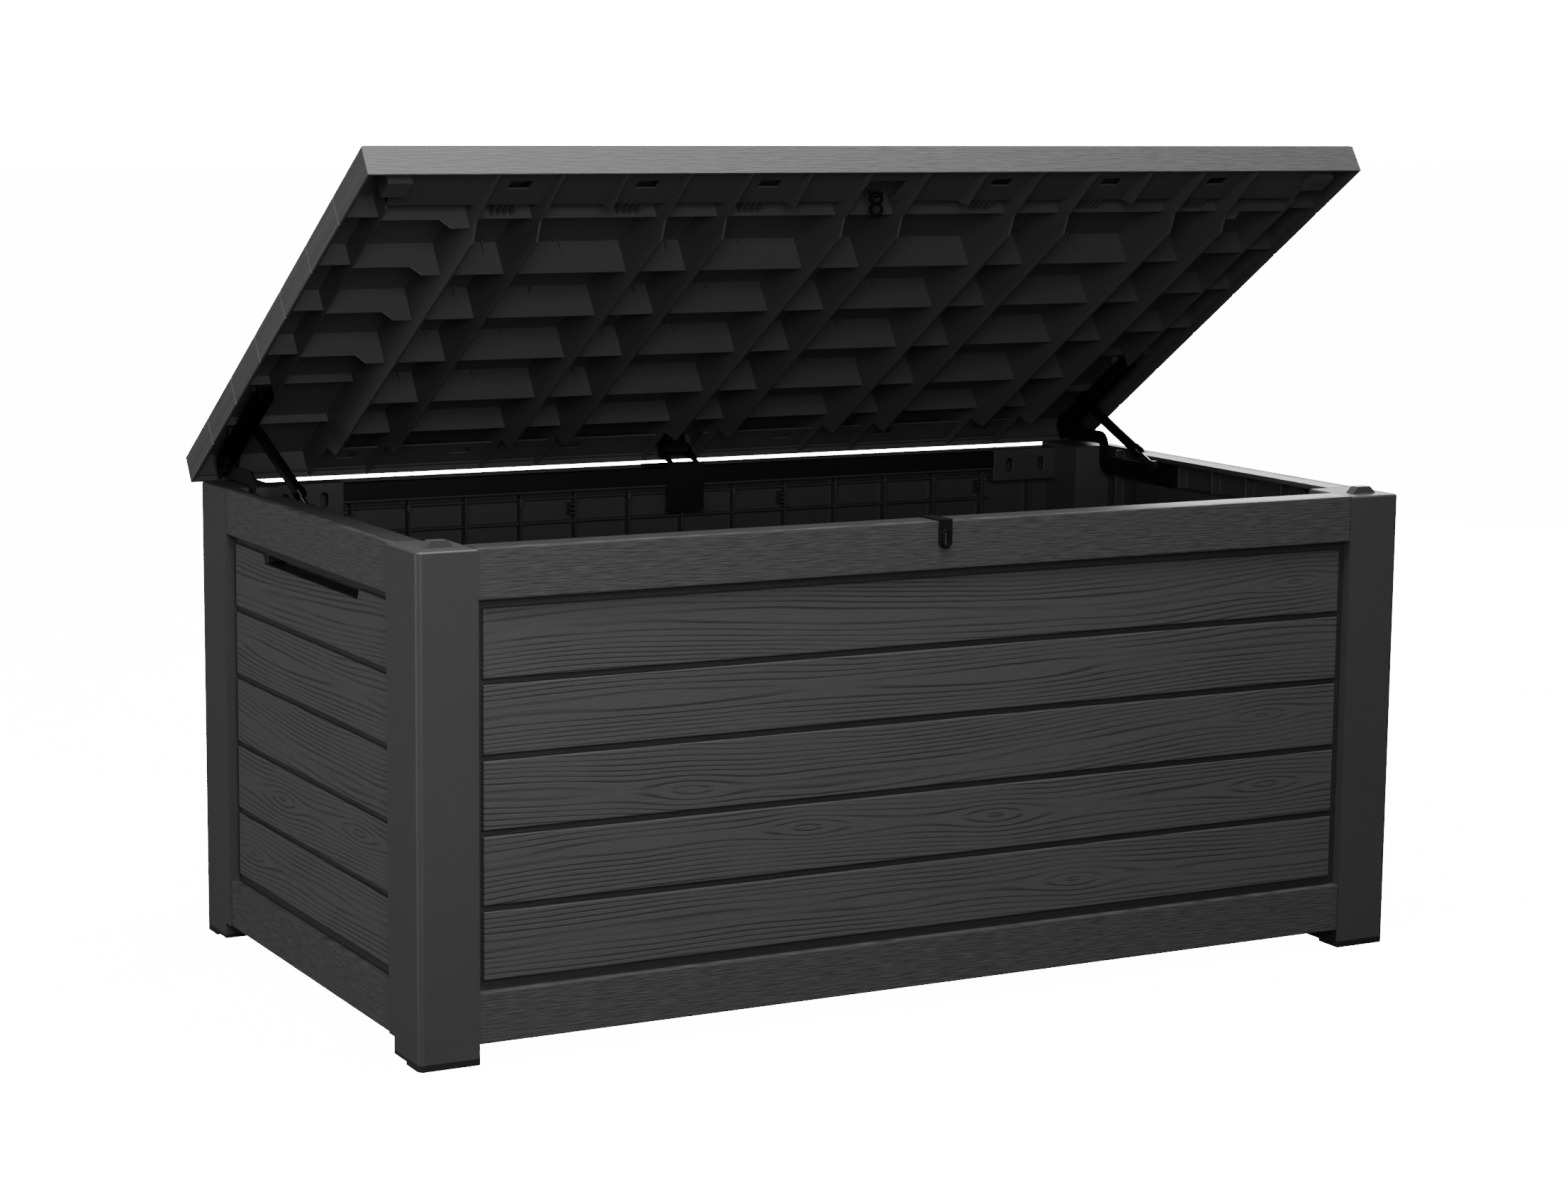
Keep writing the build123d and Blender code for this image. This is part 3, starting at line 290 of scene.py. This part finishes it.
def sanded_resin(name, dark, light, grit):
    """Polypropylene with a spark-eroded mould texture: an even sand that scatters the light.

    The real sand is finer than half a millimetre; it is drawn a few times as coarse so that it shows.
    """
    clouds_per_metre = 6.0
    cloud_share = 0.35
    material, tree = new_finish(name)
    place = add(tree, "ShaderNodeTexCoord").outputs["Object"]
    sand = add(tree, "ShaderNodeTexNoise", {
        "Vector": place, "Scale": 1 / grit, "Detail": 3.0, "Roughness": 0.6})
    cloud = add(tree, "ShaderNodeTexNoise", {"Vector": place, "Scale": clouds_per_metre, "Detail": 2.0})
    blend = add(tree, "ShaderNodeMix", {0: cloud_share, 2: sand, 3: cloud})
    tint = add(tree, "ShaderNodeMix", {0: blend, 6: linear(dark), 7: linear(light)}, data_type="RGBA")
    finish_resin(tree, tint.outputs[2], sand, SAND_RELIEF, POST_ROUND)
    return material


def lid_resin():
    """Polypropylene lid, injection moulded: grained boards on top, brushed skirts, smooth ribs below.

    Boards and skirts are told apart on the shut lid, so every point is first turned about the hinge.
    """
    material, tree = new_finish("moulded_polypropylene_lid")
    place = add(tree, "ShaderNodeTexCoord").outputs["Object"]
    shut = add(tree, "ShaderNodeVectorRotate", {"Vector": place, "Center": hinge_place, "Angle": lid_angle},
               rotation_type="X_AXIS")
    along, rearward, up = add(tree, "ShaderNodeSeparateXYZ", {0: shut}).outputs
    turn = Matrix.Rotation(lid_angle, 4, "X")
    corners = [turn @ (vertex.co - hinge_place) + hinge_place for vertex in nodes["lid_deck"].data.vertices]
    front = min(corner.y for corner in corners)
    rear = max(corner.y for corner in corners)
    top = max(corner.z for corner in corners)
    half_length = max(corner.x for corner in corners)
    half_depth = (rear - front) / 2
    pitch = (rear - front) / LID_BOARDS

    # Which board a point is on, and whether it is on the top or on a skirt
    backward = add(tree, "ShaderNodeMath", {0: rearward, 1: front}, operation="SUBTRACT")
    boards_back = add(tree, "ShaderNodeMath", {0: backward, 1: pitch}, operation="DIVIDE")
    row = add(tree, "ShaderNodeMath", {0: boards_back}, operation="FLOOR")
    deck = add(tree, "ShaderNodeMath", {0: up, 1: top - LID_DECK}, operation="GREATER_THAN")
    centred = add(tree, "ShaderNodeMath", {0: rearward, 1: (front + rear) / 2}, operation="SUBTRACT")
    edgeward = add(tree, "ShaderNodeMath", {0: centred}, operation="ABSOLUTE")
    near_edge = add(tree, "ShaderNodeMath", {0: edgeward, 1: half_depth - LID_EDGE}, operation="GREATER_THAN")
    endward = add(tree, "ShaderNodeMath", {0: along}, operation="ABSOLUTE")
    near_end = add(tree, "ShaderNodeMath", {0: endward, 1: half_length - LID_END}, operation="GREATER_THAN")
    skirt = add(tree, "ShaderNodeMath", {0: near_edge, 1: near_end}, operation="MAXIMUM")
    outer = add(tree, "ShaderNodeMath", {0: deck, 1: skirt}, operation="MAXIMUM")

    grain = wood_relief(tree, along, boards_back, row, pitch)
    fibre = fibre_relief(tree, along, up, row)
    wood = add(tree, "ShaderNodeMath", {0: grain, 1: deck}, operation="MULTIPLY")
    brushed = add(tree, "ShaderNodeMath", {0: fibre, 1: skirt}, operation="MULTIPLY")
    relief = add(tree, "ShaderNodeMath", {0: wood, 1: brushed}, operation="MAXIMUM")
    grained = add(tree, "ShaderNodeMix", {0: relief, 6: linear(LID_LINE), 7: linear(LID_RIDGE)},
                  data_type="RGBA")
    tint = add(tree, "ShaderNodeMix", {0: outer, 6: linear(LID_UNDERSIDE), 7: grained.outputs[2]},
               data_type="RGBA")
    finish_resin(tree, tint.outputs[2], relief, LID_RELIEF, LID_ROUND)
    return material


def coated_steel(name, dull, shine):
    """Blackened, painted or powder-coated steel: near black, with the slight orange peel of its coat."""
    peel_size = 0.0015
    peel_height = 0.0001
    peel_strength = 0.3
    dull_spread = 0.12
    material, tree = new_finish(name)
    place = add(tree, "ShaderNodeTexCoord").outputs["Object"]
    peel = add(tree, "ShaderNodeTexNoise", {"Vector": place, "Scale": 1 / peel_size, "Detail": 1.0})
    tint = add(tree, "ShaderNodeMix", {0: peel, 6: linear("#070707"), 7: linear("#121212")}, data_type="RGBA")
    roughness = add(tree, "ShaderNodeMapRange", {0: peel, 3: dull, 4: dull + dull_spread})
    rounded = add(tree, "ShaderNodeBevel", {"Radius": STEEL_ROUND}, samples=ROUND_SAMPLES)
    bump = add(tree, "ShaderNodeBump", {
        "Strength": peel_strength, "Distance": peel_height, "Height": peel, "Normal": rounded})
    shader = add(tree, "ShaderNodeBsdfPrincipled", {
        "Base Color": tint.outputs[2], "Roughness": roughness, "Specular IOR Level": shine, "Normal": bump})
    add(tree, "ShaderNodeOutputMaterial", {"Surface": shader})
    return material


def hard_chrome():
    """Ground and hard-chromed strut rod in a black end fitting: a bright mirror with fine grinding marks.

    The marks are drawn about 1 mm wide so that they show.
    """
    fitting_length = 0.017
    fitting_dull = 0.42
    mark_size = 0.0012
    material, tree = new_finish("hard_chromed_rod")
    place = add(tree, "ShaderNodeTexCoord").outputs["Object"]
    marks = add(tree, "ShaderNodeTexNoise", {"Vector": place, "Scale": 1 / mark_size, "Detail": 2.0})
    fitting_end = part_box("strut_rod_left")[0].y + fitting_length
    along = add(tree, "ShaderNodeSeparateXYZ", {0: place}).outputs[1]
    bright = add(tree, "ShaderNodeMath", {0: along, 1: fitting_end}, operation="GREATER_THAN")
    chromed = add(tree, "ShaderNodeMix", {0: marks, 6: linear("#a4a6a8"), 7: linear("#d6d7d8")},
                  data_type="RGBA")
    tint = add(tree, "ShaderNodeMix", {0: bright, 6: linear("#141414"), 7: chromed.outputs[2]},
               data_type="RGBA")
    polish = add(tree, "ShaderNodeMapRange", {0: marks, 3: 0.1, 4: 0.24})
    roughness = add(tree, "ShaderNodeMix", {0: bright, 2: fitting_dull, 3: polish})
    shader = add(tree, "ShaderNodeBsdfPrincipled", {
        "Base Color": tint.outputs[2], "Roughness": roughness, "Metallic": bright})
    add(tree, "ShaderNodeOutputMaterial", {"Surface": shader})
    return material


def dress_nodes():
    """Gives every CAD node the finish of the real piece: by its name, by its family, or else coated steel."""
    front_y = foot_corner.y
    rear_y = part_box("post_rear_left")[1].y
    side_x = foot_corner.x
    gloss = coated_steel("black_gloss_painted_steel", dull=0.2, shine=0.25)
    oxide = coated_steel("black_oxide_steel", dull=0.62, shine=0.04)
    steel = coated_steel("black_powder_coated_steel", dull=0.46, shine=0.25)
    finishes = {
        "front_panel": wall_resin("moulded_polypropylene_front", 0, front_y),
        "rear_panel": wall_resin("moulded_polypropylene_rear", 0, rear_y),
        "side_panel_left": wall_resin("moulded_polypropylene_left", 1, side_x),
        "side_panel_right": wall_resin("moulded_polypropylene_right", 1, -side_x),
        "lid_deck": lid_resin(),
        "lock_bail": gloss}
    families = {
        "post_": sanded_resin("sanded_polypropylene_posts", "#333333", "#414141", POST_GRIT),
        "floor_": sanded_resin("plain_polypropylene_floor", "#2c2c2c", "#343434", FLOOR_GRIT),
        "foot_cap_": sanded_resin("black_polypropylene_caps", "#0f0f0f", "#181818", CAP_GRIT),
        "strut_rod_": hard_chrome(),
        "strut_tube_": gloss,
        "lock_": oxide}
    for name, piece in nodes.items():
        family = [finish for start, finish in families.items() if name.startswith(start)]
        finish = finishes.get(name) or (family[0] if family else steel)
        piece.data.materials.clear()
        piece.data.materials.append(finish)


def studio_floor():
    """White seamless paper floor, seen by the camera but not lighting the box from below."""
    mottles_per_metre = 3.0
    mesh = bpy.data.meshes.new("studio_floor")
    corners = [(x * FLOOR_REACH, y * FLOOR_REACH, 0) for x, y in ((-1, -1), (1, -1), (1, 1), (-1, 1))]
    mesh.from_pydata(corners, [], [(0, 1, 2, 3)])
    floor = bpy.data.objects.new("studio_floor", mesh)
    floor.location.z = cad_box[0].z
    bpy.context.scene.collection.objects.link(floor)
    material, tree = new_finish("white_paper_sweep")
    place = add(tree, "ShaderNodeTexCoord").outputs["Object"]
    paper = add(tree, "ShaderNodeTexNoise", {"Vector": place, "Scale": mottles_per_metre})
    tint = add(tree, "ShaderNodeMix", {0: paper, 6: linear("#f4f4f4"), 7: linear("#fafafa")},
               data_type="RGBA")
    lit = add(tree, "ShaderNodeBsdfDiffuse", {"Color": tint.outputs[2]})
    glow = add(tree, "ShaderNodeEmission", {"Color": tint.outputs[2], "Strength": FLOOR_GLOW})
    shader = add(tree, "ShaderNodeAddShader", {0: lit, 1: glow})
    add(tree, "ShaderNodeOutputMaterial", {"Surface": shader})
    mesh.materials.append(material)
    floor.visible_diffuse = False
    floor.visible_glossy = False


def softbox(name, place, aim, width, power):
    """Square studio softbox aimed at a point."""
    lamp = bpy.data.lights.new(name, "AREA")
    lamp.shape = "SQUARE"
    lamp.size = width
    lamp.energy = power
    light = bpy.data.objects.new(name, lamp)
    light.location = place
    light.rotation_euler = (Vector(aim) - Vector(place)).to_track_quat("-Z", "Y").to_euler()
    bpy.context.scene.collection.objects.link(light)


def studio_light():
    """White room light, bright above and dim below, with softboxes overhead, left, in front and behind."""
    world = bpy.data.worlds.new("studio")
    world.use_nodes = True
    tree = world.node_tree
    tree.nodes.clear()
    sky = add(tree, "ShaderNodeSeparateXYZ", {0: add(tree, "ShaderNodeTexCoord").outputs["Generated"]})
    room = add(tree, "ShaderNodeMapRange", {
        0: sky.outputs[2], 1: DIM_HEIGHT, 2: BRIGHT_HEIGHT, 3: ROOM_DIM, 4: ROOM_BRIGHT})
    seen = add(tree, "ShaderNodeMix", {
        0: add(tree, "ShaderNodeLightPath").outputs["Is Camera Ray"], 2: room, 3: ROOM_WHITE})
    background = add(tree, "ShaderNodeBackground", {"Color": (1, 1, 1, 1), "Strength": seen})
    add(tree, "ShaderNodeOutputWorld", {"Surface": background})
    bpy.context.scene.world = world
    for name, (place, aim, width, power) in SOFTBOXES.items():
        softbox(name, place, aim, width, power)


def photo_camera():
    """Camera at the photograph's place, turned by the fitted angles."""
    forward = Vector((math.sin(CAMERA_TURN) * math.cos(CAMERA_DIP),
                      math.cos(CAMERA_TURN) * math.cos(CAMERA_DIP), -math.sin(CAMERA_DIP)))
    level = forward.cross(Vector((0, 0, 1))).normalized()
    plumb = forward.cross(level)
    right = math.cos(CAMERA_ROLL) * level + math.sin(CAMERA_ROLL) * plumb
    down = math.cos(CAMERA_ROLL) * plumb - math.sin(CAMERA_ROLL) * level
    lens = bpy.data.cameras.new("photo_camera")
    lens.sensor_width = SENSOR_WIDTH
    lens.lens = FOCAL_PIXELS / PHOTO_WIDTH * SENSOR_WIDTH
    camera = bpy.data.objects.new("photo_camera", lens)
    turn = Matrix((right, -down, -forward)).transposed().to_4x4()
    corner = Vector((foot_corner.x, foot_corner.y, 0))
    camera.matrix_world = Matrix.Translation(corner + CAMERA_FROM_FOOT) @ turn
    bpy.context.scene.collection.objects.link(camera)
    bpy.context.scene.camera = camera


dress_nodes()
studio_floor()
studio_light()
photo_camera()
